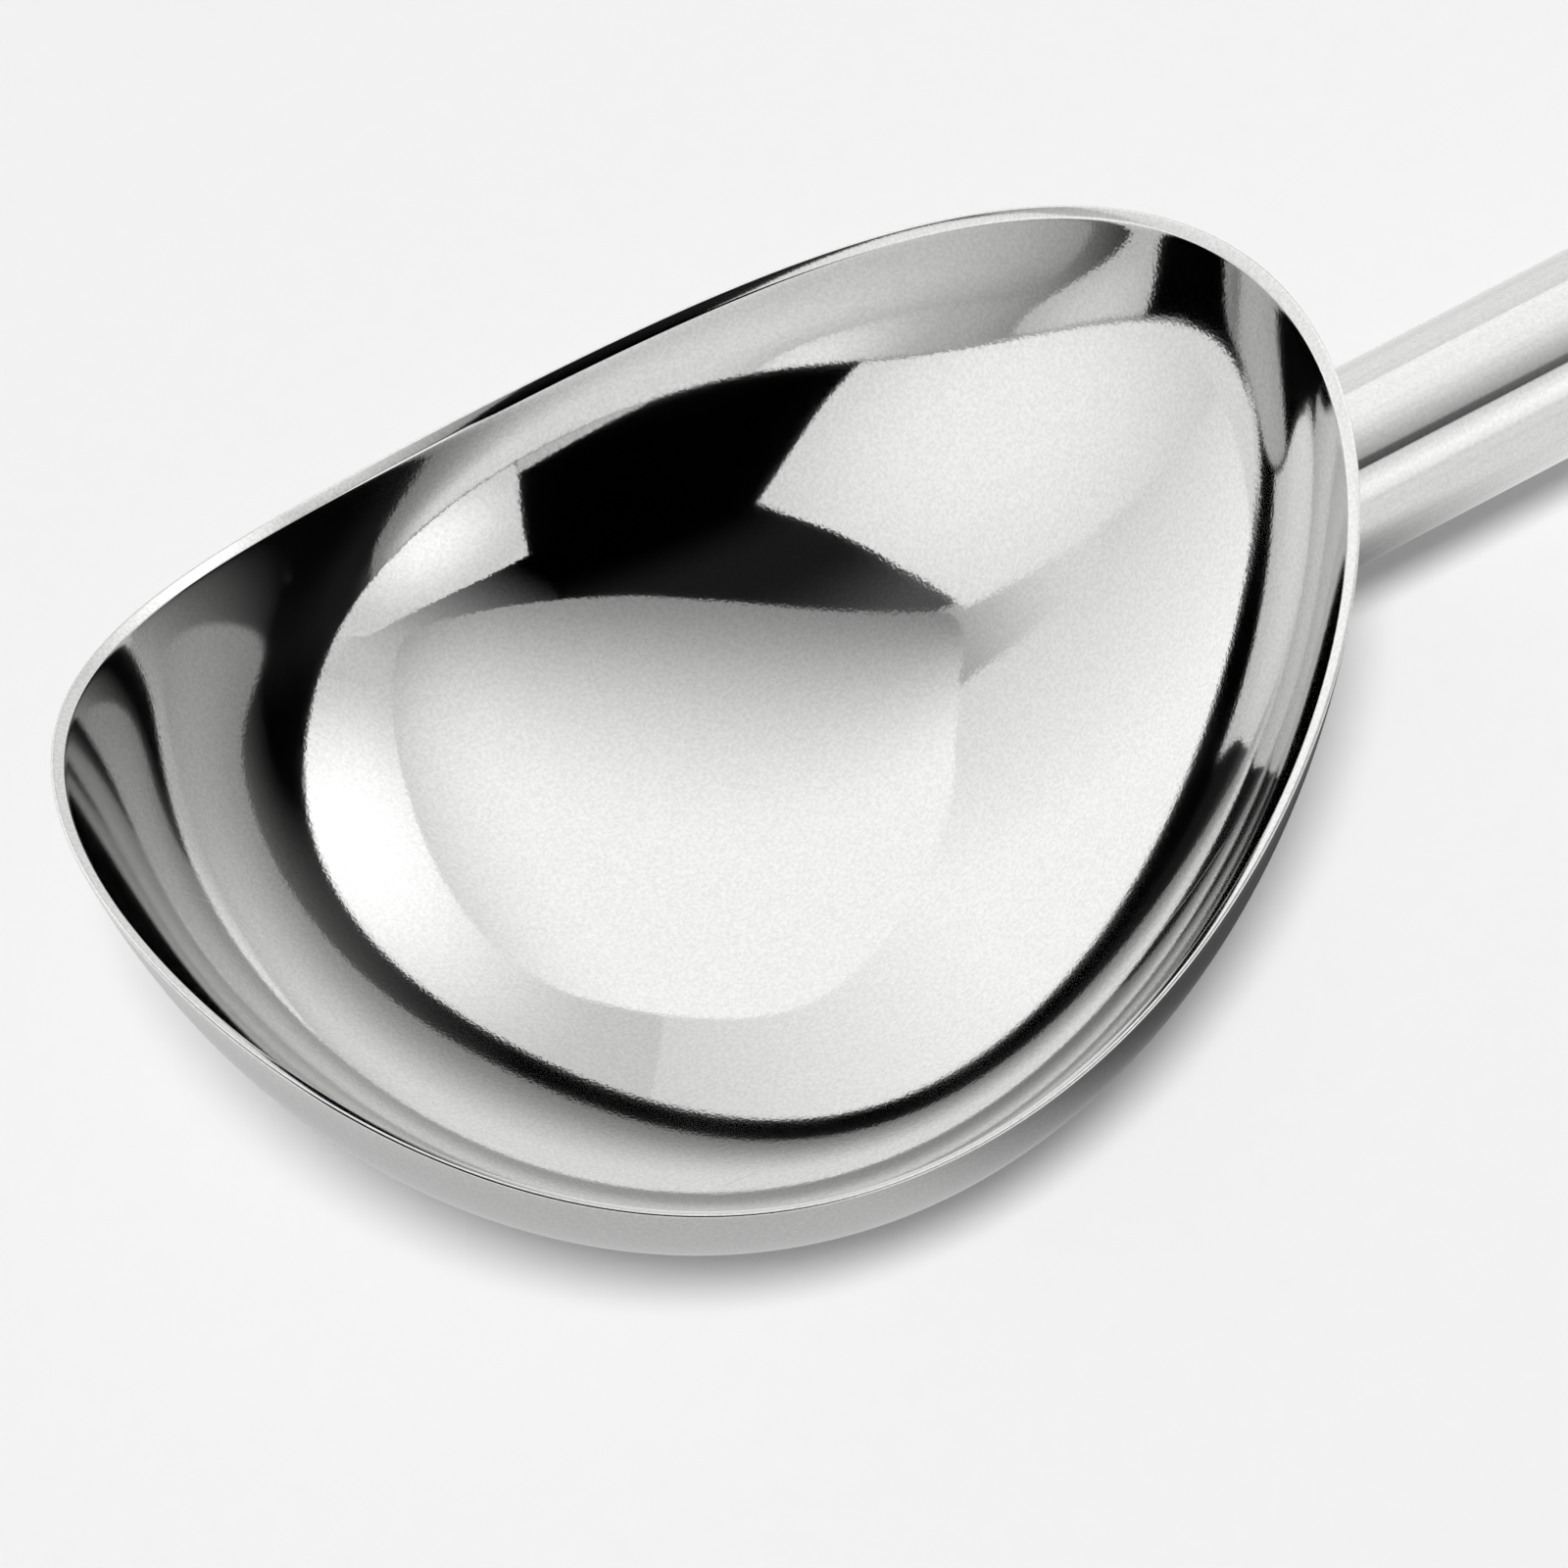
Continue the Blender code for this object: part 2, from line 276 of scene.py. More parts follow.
# Handle tube
# Drawn stainless tube, cut at the bowl end to the curve of the bowl's back, and buffed along its length.
TUBE_DIAMETER = 10.0 * MM
TUBE_WALL = 1.0 * MM
CAP_HEAD_LENGTH = 6.0 * MM
FIT_GAP = 0.3 * MM
TUBE_SIDES = 128
TUBE_EDGE = 0.15 * MM
SHARP_CORNER = math.radians(40)
TUBE_RADIUS = TUBE_DIAMETER / 2
TUBE_END = HANDLE_LENGTH - CAP_HEAD_LENGTH - FIT_GAP
TO_SCOOP = LAID_DOWN.inverted()

bm = bmesh.new()
bm.from_mesh(bowl.data)
bmesh.ops.transform(bm, matrix=TO_SCOOP, verts=bm.verts)
BOWL_BACK = BVHTree.FromBMesh(bm)
bm.free()


def on_bowl_back(across, angle):
    """Where a line along the handle, that far from its axis, meets the bowl's back, and its normal there."""
    start = Vector((HANDLE_LENGTH, across * math.cos(angle), across * math.sin(angle)))
    place, normal, _, _ = BOWL_BACK.ray_cast(start, Vector((-1, 0, 0)))
    return place, normal


# Buffed drawn tube: the die leaves faint lines along the tube, and buffing lays a satin grain over them, so
# it mirrors the room in long soft bands. The die lines are drawn wider than they are, to show.
DIE_LINE_WIDTH = 0.3 * MM
DIE_LINE_LENGTH = 50 * MM
tube_steel, tree, shader, places = new_steel("buffed_drawn_stainless_tube", "#DEDEDD")
along_tube = add_node(tree, "ShaderNodeMapping", {"vector_type": "TEXTURE"},
                      {"Location": LAID_DOWN.to_translation(), "Rotation": LAID_DOWN.to_euler(),
                       "Scale": (DIE_LINE_LENGTH, DIE_LINE_WIDTH, DIE_LINE_WIDTH)}, {"Vector": places})
die_lines = add_node(tree, "ShaderNodeTexNoise", values={"Scale": 1.0, "Detail": 2.0},
                     links={"Vector": along_tube.outputs["Vector"]})
grain = add_node(tree, "ShaderNodeTexNoise", values={"Scale": 1 / BUFF_GRAIN, "Detail": 1.0},
                 links={"Vector": places})
mottle = add_node(tree, "ShaderNodeMix", {"data_type": "FLOAT"}, {"Factor": 0.6},
                  {"A": die_lines.outputs["Fac"], "B": grain.outputs["Fac"]})
tone = add_node(tree, "ShaderNodeMapRange", values={"From Min": 0.3, "From Max": 0.7},
                links={"Value": mottle.outputs["Result"]})
colour = add_node(tree, "ShaderNodeMix", {"data_type": "RGBA"},
                  {"A": linear("#D5D5D4"), "B": linear("#E7E7E6")}, {"Factor": tone.outputs["Result"]})
tree.links.new(colour.outputs["Result"], shader.inputs["Base Color"])
haze = add_node(tree, "ShaderNodeMapRange",
                values={"From Min": 0.3, "From Max": 0.7, "To Min": 0.06, "To Max": 0.12},
                links={"Value": die_lines.outputs["Fac"]})
tree.links.new(haze.outputs["Result"], shader.inputs["Roughness"])
lines = add_node(tree, "ShaderNodeBump", values={"Strength": 0.15, "Distance": 0.004 * MM},
                 links={"Height": die_lines.outputs["Fac"]})
tree.links.new(lines.outputs["Normal"], shader.inputs["Normal"])

bm = bmesh.new()
bore = TUBE_RADIUS - TUBE_WALL
outline = [(0, TUBE_RADIUS), (TUBE_END - TUBE_EDGE, TUBE_RADIUS), (TUBE_END, TUBE_RADIUS - TUBE_EDGE),
           (TUBE_END, bore), (0, bore)]
verts = [bm.verts.new((along, across, 0)) for along, across in outline]
edges = [bm.edges.new(pair) for pair in zip(verts, verts[1:] + verts[:1])]
bmesh.ops.spin(bm, geom=verts + edges, axis=(1, 0, 0), cent=(0, 0, 0), angle=2 * math.pi, steps=TUBE_SIDES,
               use_merge=True)
bmesh.ops.remove_doubles(bm, verts=bm.verts, dist=MERGE)
bmesh.ops.recalc_face_normals(bm, faces=bm.faces)
for vert in bm.verts:
    if vert.co.x < TUBE_END / 2:
        across = math.hypot(vert.co.y, vert.co.z)
        place, _ = on_bowl_back(across, math.atan2(vert.co.z, vert.co.y))
        vert.co.x = place.x + FIT_GAP
bmesh.ops.transform(bm, matrix=LAID_DOWN, verts=bm.verts)
tube = add_piece("handle_tube_wall", bm, tube_steel)
tube.data.set_sharp_from_angle(angle=SHARP_CORNER)
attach(tube, "root")
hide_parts("handle_tube")

# Neck plug
# A short turned steel plug inside the tube's bowl end, which backs the weld. It is left as the lathe
# leaves it, with fine rings, and the tube hides it, so the solid itself stays.
TURNING_RING = 0.25 * MM


def turned_steel(name, dull, bright, smooth, rough, depth):
    """Steel off the lathe: rings round the handle's axis (drawn wider than they are, to show)."""
    material, tree, shader, places = new_steel(name, bright)
    in_scoop = add_node(tree, "ShaderNodeMapping", {"vector_type": "TEXTURE"},
                        {"Location": LAID_DOWN.to_translation(), "Rotation": LAID_DOWN.to_euler()},
                        {"Vector": places})
    flat = add_node(tree, "ShaderNodeVectorMath", {"operation": "MULTIPLY"}, {1: (0, 1, 1)},
                    {0: in_scoop.outputs["Vector"]})
    radius = add_node(tree, "ShaderNodeVectorMath", {"operation": "LENGTH"},
                      links={0: flat.outputs["Vector"]})
    ring = add_node(tree, "ShaderNodeTexNoise", {"noise_dimensions": "1D"},
                    {"Scale": 1 / TURNING_RING, "Detail": 1.0}, {"W": radius.outputs["Value"]})
    cloud = add_node(tree, "ShaderNodeTexNoise", values={"Scale": 1 / BUFF_GRAIN, "Detail": 1.0},
                     links={"Vector": places})
    mottle = add_node(tree, "ShaderNodeMix", {"data_type": "FLOAT"}, {"Factor": 0.5},
                      {"A": ring.outputs["Fac"], "B": cloud.outputs["Fac"]})
    tone = add_node(tree, "ShaderNodeMapRange", values={"From Min": 0.3, "From Max": 0.7},
                    links={"Value": mottle.outputs["Result"]})
    colour = add_node(tree, "ShaderNodeMix", {"data_type": "RGBA"}, {"A": linear(dull), "B": linear(bright)},
                      {"Factor": tone.outputs["Result"]})
    tree.links.new(colour.outputs["Result"], shader.inputs["Base Color"])
    sheen = add_node(tree, "ShaderNodeMapRange", values={"To Min": smooth, "To Max": rough},
                     links={"Value": tone.outputs["Result"]})
    tree.links.new(sheen.outputs["Result"], shader.inputs["Roughness"])
    grooves = add_node(tree, "ShaderNodeBump", values={"Strength": 0.3, "Distance": depth},
                       links={"Height": ring.outputs["Fac"]})
    tree.links.new(grooves.outputs["Normal"], shader.inputs["Normal"])
    return material


plug = frame["nodes"]["neck_plug"]
plug.data.materials.clear()
plug.data.materials.append(turned_steel("turned_steel", "#B4B3B1", "#CFCECC", 0.22, 0.38, 0.02 * MM))

# Neck weld
# A bead of weld that joins the tube to the bowl's back all round, ground to a hollow fillet and buffed.
# Faint ripples of the bead are still there.
WELD_WIDTH = 1.1 * MM
WELD_SINK = 0.05 * MM
WELD_FULLNESS = 0.12
WELD_RIPPLES = 26
WELD_RIPPLE_HEIGHT = 0.025 * MM
WELD_RIPPLE_SLANT = 4
WELD_STEPS = 8


def weld_point(share, angle):
    """Across the fillet from the tube (share 0) to the bowl (share 1); below 0 is its hidden corner."""
    corner, normal = on_bowl_back(TUBE_RADIUS, angle)
    outwards = Vector((0, math.cos(angle), math.sin(angle)))
    along_bowl = (outwards - outwards.dot(normal) * normal).normalized()
    along_tube = Vector((1, 0, 0))
    if share < 0:
        return corner - WELD_SINK * (outwards + normal)
    on_tube = corner + WELD_WIDTH * along_tube - WELD_SINK * outwards
    on_bowl, bowl_normal, _, _ = BOWL_BACK.find_nearest(corner + WELD_WIDTH * along_bowl)
    on_bowl -= WELD_SINK * bowl_normal
    hollow = corner + WELD_FULLNESS * WELD_WIDTH * (along_tube + along_bowl)
    place = on_tube.lerp(hollow, share).lerp(hollow.lerp(on_bowl, share), share)
    wave = math.sin(WELD_RIPPLES * angle + WELD_RIPPLE_SLANT * share)
    ripple = WELD_RIPPLE_HEIGHT * wave * math.sin(math.pi * share)
    return place + ripple * (along_tube + along_bowl).normalized()


# Ground weld: the same steel, a little warmer and duller than the tube, with the grinding marks buffed over
GRINDING_MARK = 0.35 * MM
weld_steel, tree, shader, places = new_steel("ground_and_buffed_weld", "#CFCDC9")
marks = add_node(tree, "ShaderNodeTexNoise", values={"Scale": 1 / GRINDING_MARK, "Detail": 3.0},
                 links={"Vector": places})
tone = add_node(tree, "ShaderNodeMix", {"data_type": "RGBA"},
                {"A": linear("#C2BFBA"), "B": linear("#DAD9D6")}, {"Factor": marks.outputs["Fac"]})
tree.links.new(tone.outputs["Result"], shader.inputs["Base Color"])
dull = add_node(tree, "ShaderNodeMapRange",
                values={"From Min": 0.3, "From Max": 0.7, "To Min": 0.14, "To Max": 0.28},
                links={"Value": marks.outputs["Fac"]})
tree.links.new(dull.outputs["Result"], shader.inputs["Roughness"])
scuffs = add_node(tree, "ShaderNodeBump", values={"Strength": 0.2, "Distance": 0.02 * MM},
                  links={"Height": marks.outputs["Fac"]})
tree.links.new(scuffs.outputs["Normal"], shader.inputs["Normal"])

bm = bmesh.new()
shares = [-1 / WELD_STEPS] + [step / WELD_STEPS for step in range(WELD_STEPS + 1)]
verts = [bm.verts.new((share, TUBE_RADIUS, 0)) for share in shares]
edges = [bm.edges.new(pair) for pair in zip(verts, verts[1:] + verts[:1])]
bmesh.ops.spin(bm, geom=verts + edges, axis=(1, 0, 0), cent=(0, 0, 0), angle=2 * math.pi, steps=TUBE_SIDES,
               use_merge=True)
bmesh.ops.remove_doubles(bm, verts=bm.verts, dist=MERGE)
for vert in bm.verts:
    vert.co = weld_point(vert.co.x, math.atan2(vert.co.z, vert.co.y))
bmesh.ops.recalc_face_normals(bm, faces=bm.faces)
bmesh.ops.transform(bm, matrix=LAID_DOWN, verts=bm.verts)
weld = add_piece("neck_weld_fillet", bm, weld_steel)
weld.data.set_sharp_from_angle(angle=SHARP_CORNER)
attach(weld, "root")
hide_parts("neck_weld")

# End cap
# A turned steel plug pressed into the tube's far end. Its head is as wide as the tube, with a rounded
# edge and a small groove where it meets the tube, and its flat end shows the lathe's fine rings.
CAP_EDGE_RADIUS = 1.0 * MM
CAP_SPIGOT_LENGTH = 12.0 * MM
CAP_EDGE_STEPS = 12
CAP_CORNER = 0.15 * MM
PLUG_RADIUS = TUBE_RADIUS - TUBE_WALL - FIT_GAP
CAP_SHOULDER = HANDLE_LENGTH - CAP_HEAD_LENGTH

cap_steel = turned_steel("turned_and_polished_cap", "#CECECD", "#E4E4E3", 0.07, 0.16, 0.004 * MM)
bm = bmesh.new()
outline = [(HANDLE_LENGTH, 0)]
for step in range(CAP_EDGE_STEPS + 1):
    turn = math.pi / 2 * step / CAP_EDGE_STEPS
    outline.append((HANDLE_LENGTH - CAP_EDGE_RADIUS * (1 - math.cos(turn)),
                    TUBE_RADIUS - CAP_EDGE_RADIUS * (1 - math.sin(turn))))
outline += [(CAP_SHOULDER + CAP_CORNER, TUBE_RADIUS), (CAP_SHOULDER, TUBE_RADIUS - CAP_CORNER),
            (CAP_SHOULDER, PLUG_RADIUS), (CAP_SHOULDER - CAP_SPIGOT_LENGTH, PLUG_RADIUS),
            (CAP_SHOULDER - CAP_SPIGOT_LENGTH, 0)]
verts = [bm.verts.new((along, across, 0)) for along, across in outline]
edges = [bm.edges.new(pair) for pair in zip(verts, verts[1:])]
bmesh.ops.spin(bm, geom=verts + edges, axis=(1, 0, 0), cent=(0, 0, 0), angle=2 * math.pi, steps=TUBE_SIDES,
               use_merge=True)
bmesh.ops.remove_doubles(bm, verts=bm.verts, dist=MERGE)
bmesh.ops.recalc_face_normals(bm, faces=bm.faces)
bmesh.ops.transform(bm, matrix=LAID_DOWN, verts=bm.verts)
cap = add_piece("turned_end_cap", bm, cap_steel)
cap.data.set_sharp_from_angle(angle=SHARP_CORNER)
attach(cap, "root")
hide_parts("end_cap")

# Table
# A plain table top with a matt pale paint. For glossy rays the table is painted instead as a glow that the
# steel mirrors: a painted shade round the bowl, deepest under the heel, and an even painted glow further off;
# the key lamp alone would leave that shade too light.
TABLE_MIDDLE = Vector((-74 * MM, 0, 0))
SHADE_NEAR = 33 * MM
SHADE_FAR = 55 * MM
HEEL_SIDE = Vector((0.9, -0.44, 0))
HEEL_SHADE_START = TABLE_MIDDLE.dot(HEEL_SIDE) + 8 * MM
HEEL_SHADE_END = TABLE_MIDDLE.dot(HEEL_SIDE) + 30 * MM
SHADE_UNDER_TIP = 0.55
SHADE_UNDER_HEEL = 0.08
PAINTED_OPEN_TABLE_GLOW = 0.88
TABLE_HALF_WIDTH = 4.0
PAINT_FLECK = 2 * MM
table_paint_and_painted_shade = bpy.data.materials.new("pale_table_paint")
table_paint_and_painted_shade.use_nodes = True
tree = table_paint_and_painted_shade.node_tree
shader = tree.nodes["Principled BSDF"]
shader.inputs["Roughness"].default_value = 0.9
places = add_node(tree, "ShaderNodeTexCoord").outputs["Object"]
fleck = add_node(tree, "ShaderNodeTexNoise", values={"Scale": 1 / PAINT_FLECK, "Detail": 2.0},
                 links={"Vector": places})
paint = add_node(tree, "ShaderNodeMix", {"data_type": "RGBA"},
                 {"A": linear("#F1F1F1"), "B": linear("#F3F3F3")}, {"Factor": fleck.outputs["Fac"]})
tree.links.new(paint.outputs["Result"], shader.inputs["Base Color"])
# Painted shade: for glossy rays the table glows dimly close round the bowl, darkest towards the heel, and
# evenly further off
heelward = add_node(tree, "ShaderNodeVectorMath", {"operation": "DOT_PRODUCT"}, {1: HEEL_SIDE}, {0: places})
painted_shade_under_bowl = add_node(tree, "ShaderNodeMapRange", {"interpolation_type": "SMOOTHSTEP"},
                 {"From Min": HEEL_SHADE_START, "From Max": HEEL_SHADE_END,
                  "To Min": SHADE_UNDER_TIP, "To Max": SHADE_UNDER_HEEL},
                 {"Value": heelward.outputs["Value"]})
reach = add_node(tree, "ShaderNodeVectorMath", {"operation": "DISTANCE"}, {1: TABLE_MIDDLE}, {0: places})
clear = add_node(tree, "ShaderNodeMapRange", {"interpolation_type": "SMOOTHSTEP"},
                 {"From Min": SHADE_NEAR, "From Max": SHADE_FAR}, {"Value": reach.outputs["Value"]})
tone = add_node(tree, "ShaderNodeMix", {"data_type": "FLOAT"}, {"B": PAINTED_OPEN_TABLE_GLOW},
                {"Factor": clear.outputs["Result"], "A": painted_shade_under_bowl.outputs["Result"]})
painted_shade_glow = add_node(tree, "ShaderNodeEmission", links={"Strength": tone.outputs["Result"]})
path = add_node(tree, "ShaderNodeLightPath")
either = add_node(tree, "ShaderNodeMixShader",
                  links={0: path.outputs["Is Glossy Ray"], 1: shader.outputs["BSDF"],
                         2: painted_shade_glow.outputs["Emission"]})
tree.links.new(either.outputs["Shader"], tree.nodes["Material Output"].inputs["Surface"])
bm = bmesh.new()
bmesh.ops.create_grid(bm, x_segments=1, y_segments=1, size=TABLE_HALF_WIDTH)
table = add_piece("table_top", bm, table_paint_and_painted_shade)

# Studio
# Cards stand round the bowl, each given by the bearing and height that its corners are seen at from the
# bowl's middle. Bearing 0 is straight away from the camera and grows to the camera's right, in degrees.
CAMERA_BEARING = 14.376
STUDIO_MIDDLE = Vector((-74 * MM, 0, 5 * MM))
CORNER_CUTS = 3


def seen_at(bearing, height):
    """The way from the bowl to what is seen at a bearing and height."""
    turn = math.radians(CAMERA_BEARING + bearing)
    rise = math.radians(height)
    return Vector((math.sin(turn) * math.cos(rise), math.cos(turn) * math.cos(rise), math.sin(rise)))


def on_card(facing, distance, corner):
    """Where a flat card, square to the way it faces, is seen at a bearing and height."""
    way = seen_at(*corner)
    return STUDIO_MIDDLE + way * distance / way.dot(seen_at(*facing))


def rounded(corners):
    """The outline with its corners cut over and over, to a smooth curve."""
    for _ in range(CORNER_CUTS):
        pairs = zip(corners, corners[1:] + corners[:1])
        corners = [a.lerp(b, share) for a, b in pairs for share in (0.25, 0.75)]
    return corners


def add_card(name, facing, distance, corners, smooth=False, strength=1.0):
    """A flat card with its corners seen at the given bearings and heights: its node tree and its light."""
    places = [on_card(facing, distance, corner) for corner in corners]
    bm = bmesh.new()
    bm.faces.new([bm.verts.new(place) for place in (rounded(places) if smooth else places)])
    paint = bpy.data.materials.new(name + "_light")
    paint.use_nodes = True
    paint_tree = paint.node_tree
    paint_tree.nodes.clear()
    light = add_node(paint_tree, "ShaderNodeEmission", values={"Strength": strength})
    add_node(paint_tree, "ShaderNodeOutputMaterial", links={"Surface": light.outputs["Emission"]})
    card = add_piece(name, bm, paint)
    card.visible_camera = False
    card.visible_diffuse = False
    card.visible_shadow = False
    return paint_tree, light


def fade_across(tree, light, way, start, end, low, high):
    """The card's light goes smoothly from low to high along a direction, between two distances."""
    places = add_node(tree, "ShaderNodeTexCoord").outputs["Object"]
    reach = add_node(tree, "ShaderNodeVectorMath", {"operation": "DOT_PRODUCT"}, {1: way}, {0: places})
    middle = STUDIO_MIDDLE.dot(way)
    fade = add_node(tree, "ShaderNodeMapRange", {"interpolation_type": "SMOOTHSTEP"},
                    {"From Min": middle + start, "From Max": middle + end, "To Min": low, "To Max": high},
                    {"Value": reach.outputs["Value"]})
    tree.links.new(fade.outputs["Result"], light.inputs["Strength"])
    return fade.outputs["Result"]


def fade_round(tree, light, place, near, far, low, high):
    """The card's light falls smoothly from high to low away from a place on it."""
    places = add_node(tree, "ShaderNodeTexCoord").outputs["Object"]
    reach = add_node(tree, "ShaderNodeVectorMath", {"operation": "DISTANCE"}, {1: place}, {0: places})
    fade = add_node(tree, "ShaderNodeMapRange", {"interpolation_type": "SMOOTHSTEP"},
                    {"From Min": near, "From Max": far, "To Min": high, "To Max": low},
                    {"Value": reach.outputs["Value"]})
    tree.links.new(fade.outputs["Result"], light.inputs["Strength"])


# Dark room behind the camera, a trace lighter up near the diffuser and lighter still in its top left corner
UPWARDS = Vector((0, 0, 1))
tree, light = add_card("dark_room", (180, 40), 14.0, [
    (-73, 38), (-90, 62), (-110, 72), (180, 76), (150, 66), (128, 46), (106, 25), (118, 16), (133, 3),
    (180, 1), (-128, 2), (-122, 20)])
near_diffuser = fade_across(tree, light, UPWARDS, 11.5, 14.8, 0.0, 0.012)
left_corner = fade_across(tree, light, UPWARDS, 17.0, 27.0, 0.0, 0.08)
both = add_node(tree, "ShaderNodeMath", {"operation": "ADD"}, links={0: near_diffuser, 1: left_corner})
tree.links.new(both.outputs["Value"], light.inputs["Strength"])

# Light low strip on the camera side
add_card("low_strip", (180, 8), 9.0, [
    (163.5, 8), (180, 6), (-164, 4.5), (-164, 3), (164, 2.5)], strength=0.6)

# Left panel, brightest near its middle
PANEL_FACING = (-100, 30)
PANEL_DISTANCE = 6.0
tree, light = add_card("left_panel", PANEL_FACING, PANEL_DISTANCE, [
    (-75.5, 40.5), (-90, 46.5), (-105, 49), (-129, 49), (-138.5, 47), (-135.5, 25), (-130, 2), (-70, -3),
    (-72.5, 20)])
fade_round(tree, light, on_card(PANEL_FACING, PANEL_DISTANCE, (-98, 25)), 0.5, 4.8, 0.83, 1.13)

# Grey gap between the left panel and the backdrop, darker upwards
tree, light = add_card("left_gap", (-70, 38), 9.0, [
    (-77, 42), (-76, 22), (-69.5, 22), (-66, 41), (-63, 47), (-66, 54), (-80, 50)])
fade_across(tree, light, UPWARDS, 3.9, 6.6, 0.9, 0.46)

# Right softbox with its lamp showing through
SOFTBOX_FACING = (138, 20)
SOFTBOX_DISTANCE = 6.0
tree, light = add_card("right_softbox", SOFTBOX_FACING, SOFTBOX_DISTANCE, [
    (155.5, 39.5), (142, 37), (127, 31), (112, 22.5), (108, 12), (118, 9), (126, -1), (163.5, -1), (163.5, 7),
    (160, 25)])
fade_round(tree, light, on_card(SOFTBOX_FACING, SOFTBOX_DISTANCE, (140, 14)), 0.0, 2.7, 0.8, 1.3)

# Right back panel, brightest near its middle
BACK_PANEL_FACING = (65, 20)
BACK_PANEL_DISTANCE = 14.0
tree, light = add_card("right_back_panel", BACK_PANEL_FACING, BACK_PANEL_DISTANCE, [
    (20, 0), (22, 40), (58, 55), (90, 48), (120, 30), (118, 0)])
fade_round(tree, light, on_card(BACK_PANEL_FACING, BACK_PANEL_DISTANCE, (64, 22)), 0.5, 9.5, 0.75, 1.45)

# Grey wall between the softbox and the diffuser, darker towards the room
tree, light = add_card("grey_wall", (128, 30), 13.0, [
    (164, 30), (164, 64), (140, 54), (120, 42), (100, 36), (98, 16), (120, 20), (140, 27)])
fade_across(tree, light, seen_at(38, 0), -4.6, 6.0, 0.0, 0.72)

# Overhead diffuser, duller towards its right end. The edge of its lamp's spot fans out from a place
# beyond its left end, with the bright side away from the camera.
DIFFUSER_HEIGHT = 4.8
RIGHTWARDS = seen_at(90, 0)
AWAY = seen_at(0, 0)
FAN_PIVOT = STUDIO_MIDDLE + DIFFUSER_HEIGHT * (0.75 * AWAY - 1.75 * RIGHTWARDS)
tree, light = add_card("overhead_diffuser", (0, 90), DIFFUSER_HEIGHT, [
    (-75, 40), (-83, 51), (-97, 61), (-120, 67.5), (-150, 69.5), (180, 65.5), (150, 55), (135, 45.5),
    (122, 34.5), (114, 31), (107, 32.5), (81, 37), (68, 37), (46, 31.5), (36, 31), (25, 35), (0, 38.5),
    (-15, 42), (-45, 43), (-62, 44)], smooth=True)
right_end = fade_across(tree, light, RIGHTWARDS, 0.55 * DIFFUSER_HEIGHT, 1.75 * DIFFUSER_HEIGHT, 1.0, 0.58)
places = add_node(tree, "ShaderNodeTexCoord").outputs["Object"]
from_pivot = add_node(tree, "ShaderNodeVectorMath", {"operation": "SUBTRACT"}, {1: FAN_PIVOT}, {0: places})
rightwards = add_node(tree, "ShaderNodeVectorMath", {"operation": "DOT_PRODUCT"}, {1: RIGHTWARDS},
                      {0: from_pivot.outputs["Vector"]})
away = add_node(tree, "ShaderNodeVectorMath", {"operation": "DOT_PRODUCT"}, {1: AWAY},
                {0: from_pivot.outputs["Vector"]})
slope = add_node(tree, "ShaderNodeMath", {"operation": "DIVIDE"},
                 links={0: away.outputs["Value"], 1: rightwards.outputs["Value"]})
spot = add_node(tree, "ShaderNodeMapRange", {"interpolation_type": "SMOOTHSTEP"},
                {"From Min": -0.72, "From Max": -0.16, "To Min": 0.31, "To Max": 1.19},
                {"Value": slope.outputs["Value"]})
both = add_node(tree, "ShaderNodeMath", {"operation": "MULTIPLY"},
                links={0: right_end, 1: spot.outputs["Result"]})
tree.links.new(both.outputs["Value"], light.inputs["Strength"])

# Backdrop all round: the steel sees it brighter on the left and dimmer at the sides, and it adds a
# little even light to the table
BACKDROP_LEFT = 1.2
BACKDROP_RIGHT = 0.82
BACKDROP_SIDES = 0.72
EVEN_LIGHT = 0.26
BACKDROP_SEEN = 0.9
world = bpy.data.worlds.new("studio")
bpy.context.scene.world = world
world.use_nodes = True
tree = world.node_tree
path = add_node(tree, "ShaderNodeLightPath")
ways = add_node(tree, "ShaderNodeTexCoord").outputs["Generated"]
across = add_node(tree, "ShaderNodeVectorMath", {"operation": "DOT_PRODUCT"}, {1: RIGHTWARDS}, {0: ways})
glow = add_node(tree, "ShaderNodeMapRange",
                values={"From Min": -0.4, "From Max": 0.4, "To Min": BACKDROP_LEFT, "To Max": BACKDROP_RIGHT},
                links={"Value": across.outputs["Value"]})
ahead = add_node(tree, "ShaderNodeVectorMath", {"operation": "DOT_PRODUCT"}, {1: AWAY}, {0: ways})
dim_side = add_node(tree, "ShaderNodeMapRange",
                    values={"From Min": 0.3, "From Max": 0.62, "To Min": BACKDROP_SIDES, "To Max": 1.0},
                    links={"Value": ahead.outputs["Value"]})
backdrop = add_node(tree, "ShaderNodeMath", {"operation": "MULTIPLY"},
                    links={0: glow.outputs["Result"], 1: dim_side.outputs["Result"]})
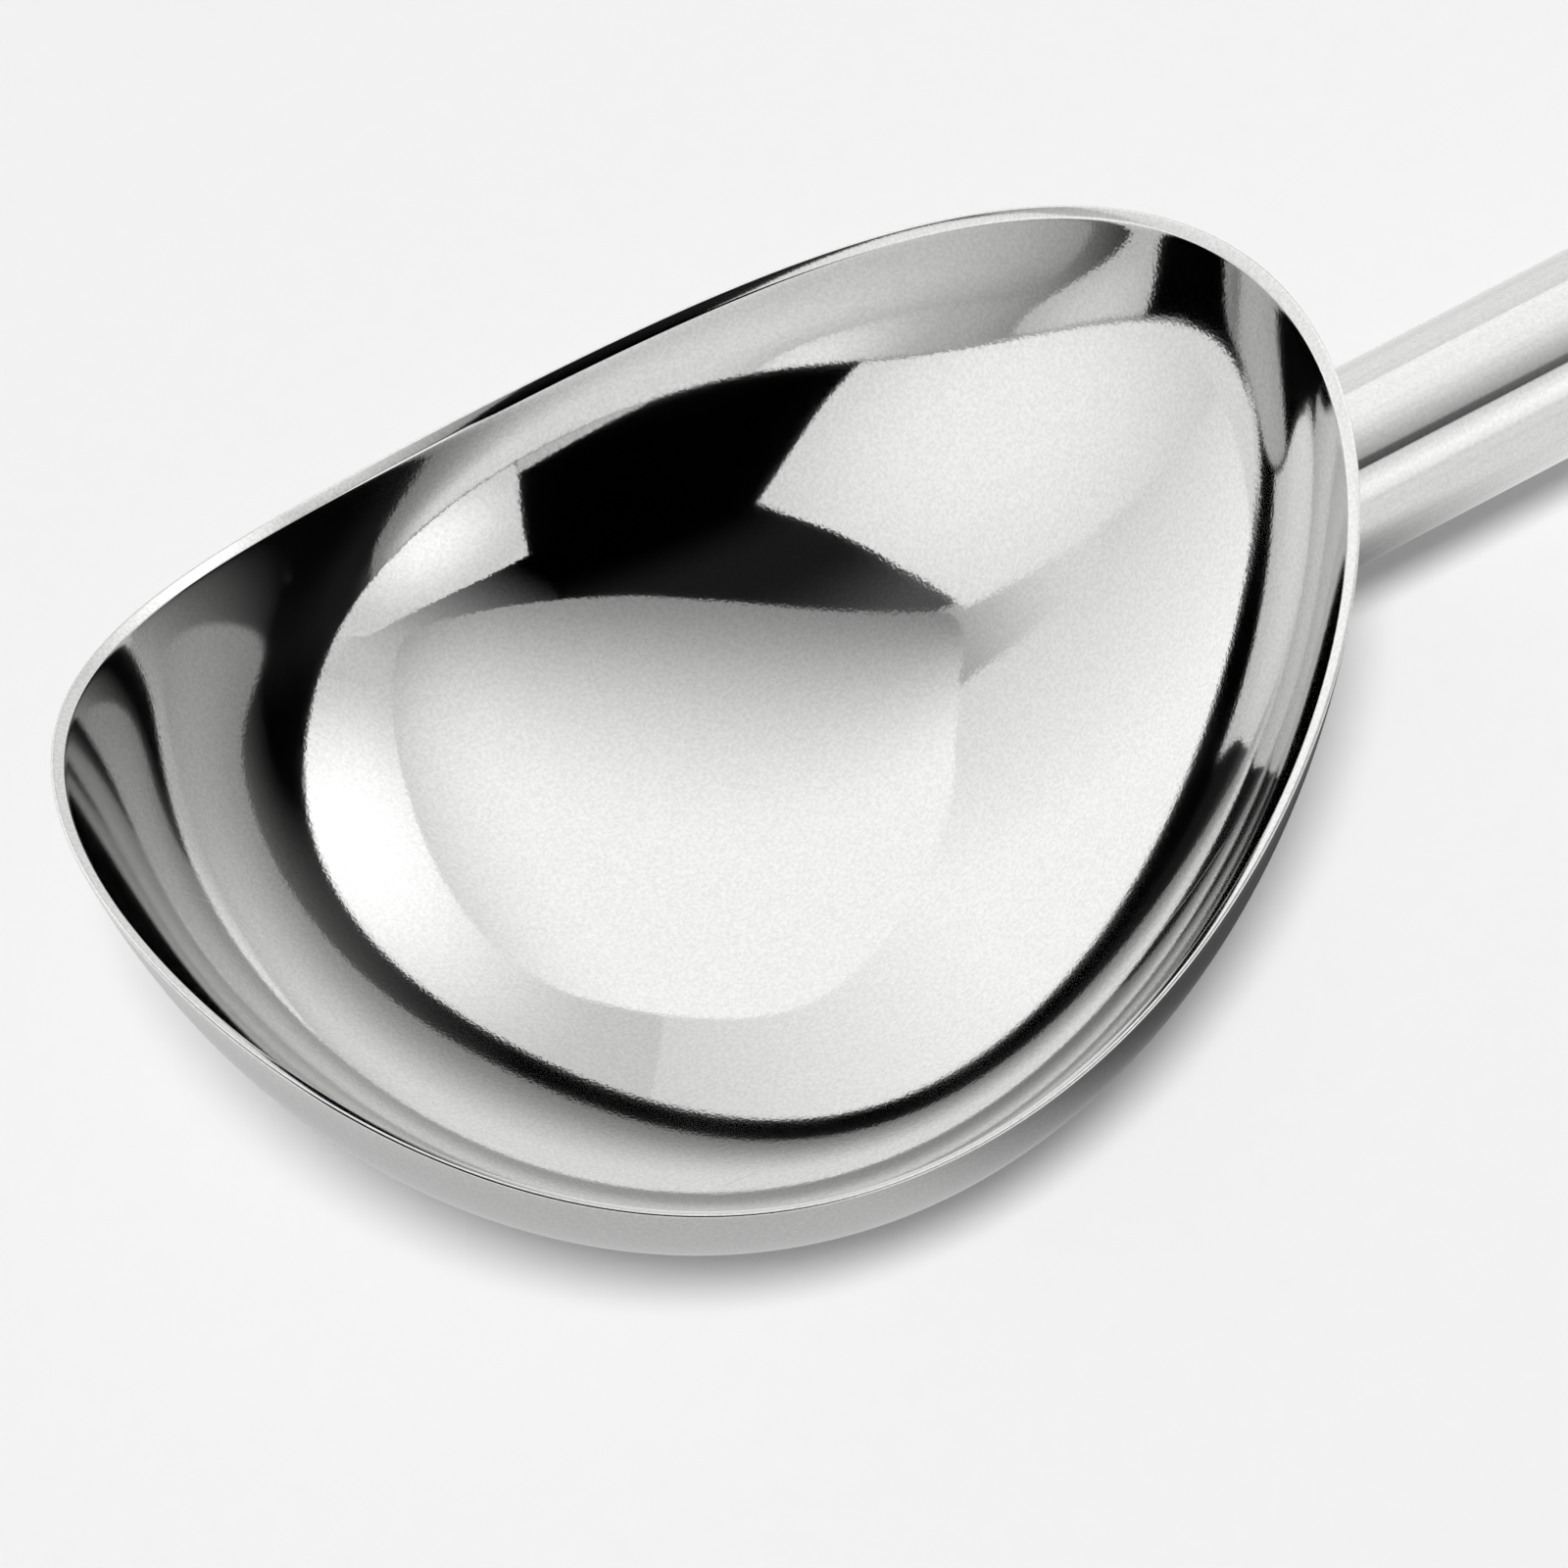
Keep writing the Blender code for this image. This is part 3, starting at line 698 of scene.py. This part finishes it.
ambient = add_node(tree, "ShaderNodeMix", {"data_type": "FLOAT"}, {"A": EVEN_LIGHT},
                   {"Factor": path.outputs["Is Glossy Ray"], "B": backdrop.outputs["Value"]})
level = add_node(tree, "ShaderNodeMix", {"data_type": "FLOAT"}, {"B": BACKDROP_SEEN},
                 {"Factor": path.outputs["Is Camera Ray"], "A": ambient.outputs["Result"]})
tree.links.new(level.outputs["Result"], tree.nodes["Background"].inputs["Strength"])
tree.nodes["Background"].inputs["Color"].default_value = (1, 1, 1, 1)

# Camera
# It looks down at the bowl's long side, a little from the tip's end, and is rolled as the photograph was.
CAMERA_AIM = Vector((-66.57 * MM, 9.31 * MM, 0))
CAMERA_DISTANCE = 346.84 * MM
CAMERA_HEIGHT = 50.409
CAMERA_ROLL = math.radians(-18.098)
CAMERA_LENS = 145.46
SENSOR_WIDTH = 36.0
camera_data = bpy.data.cameras.new("camera")
camera_data.sensor_width = SENSOR_WIDTH
camera_data.lens = CAMERA_LENS
camera = bpy.data.objects.new("camera", camera_data)
bpy.context.scene.collection.objects.link(camera)
forward = seen_at(0, -CAMERA_HEIGHT)
camera.rotation_mode = "QUATERNION"
roll = Matrix.Rotation(CAMERA_ROLL, 3, "Z").to_quaternion()
camera.rotation_quaternion = forward.to_track_quat("-Z", "Y") @ roll
camera.location = CAMERA_AIM - forward * CAMERA_DISTANCE
bpy.context.scene.camera = camera

# Key lamp
# A broad soft lamp just above the camera throws the shadow on the table. The steel doesn't mirror it.
KEY_SPREAD = math.radians(13)
KEY_STRENGTH = 2.62
KEY_LEFT = 0.05
KEY_UP = 0.18
key_data = bpy.data.lights.new("key", "SUN")
key_data.angle = KEY_SPREAD
key_data.energy = KEY_STRENGTH
key = bpy.data.objects.new("key", key_data)
bpy.context.scene.collection.objects.link(key)
right = camera.rotation_quaternion @ Vector((1, 0, 0))
up = camera.rotation_quaternion @ Vector((0, 1, 0))
key_way = (-forward - KEY_LEFT * right + KEY_UP * up).normalized()
key.rotation_mode = "QUATERNION"
key.rotation_quaternion = (-key_way).to_track_quat("-Z", "Y")
key.visible_glossy = False

bpy.context.scene.view_settings.view_transform = "Standard"
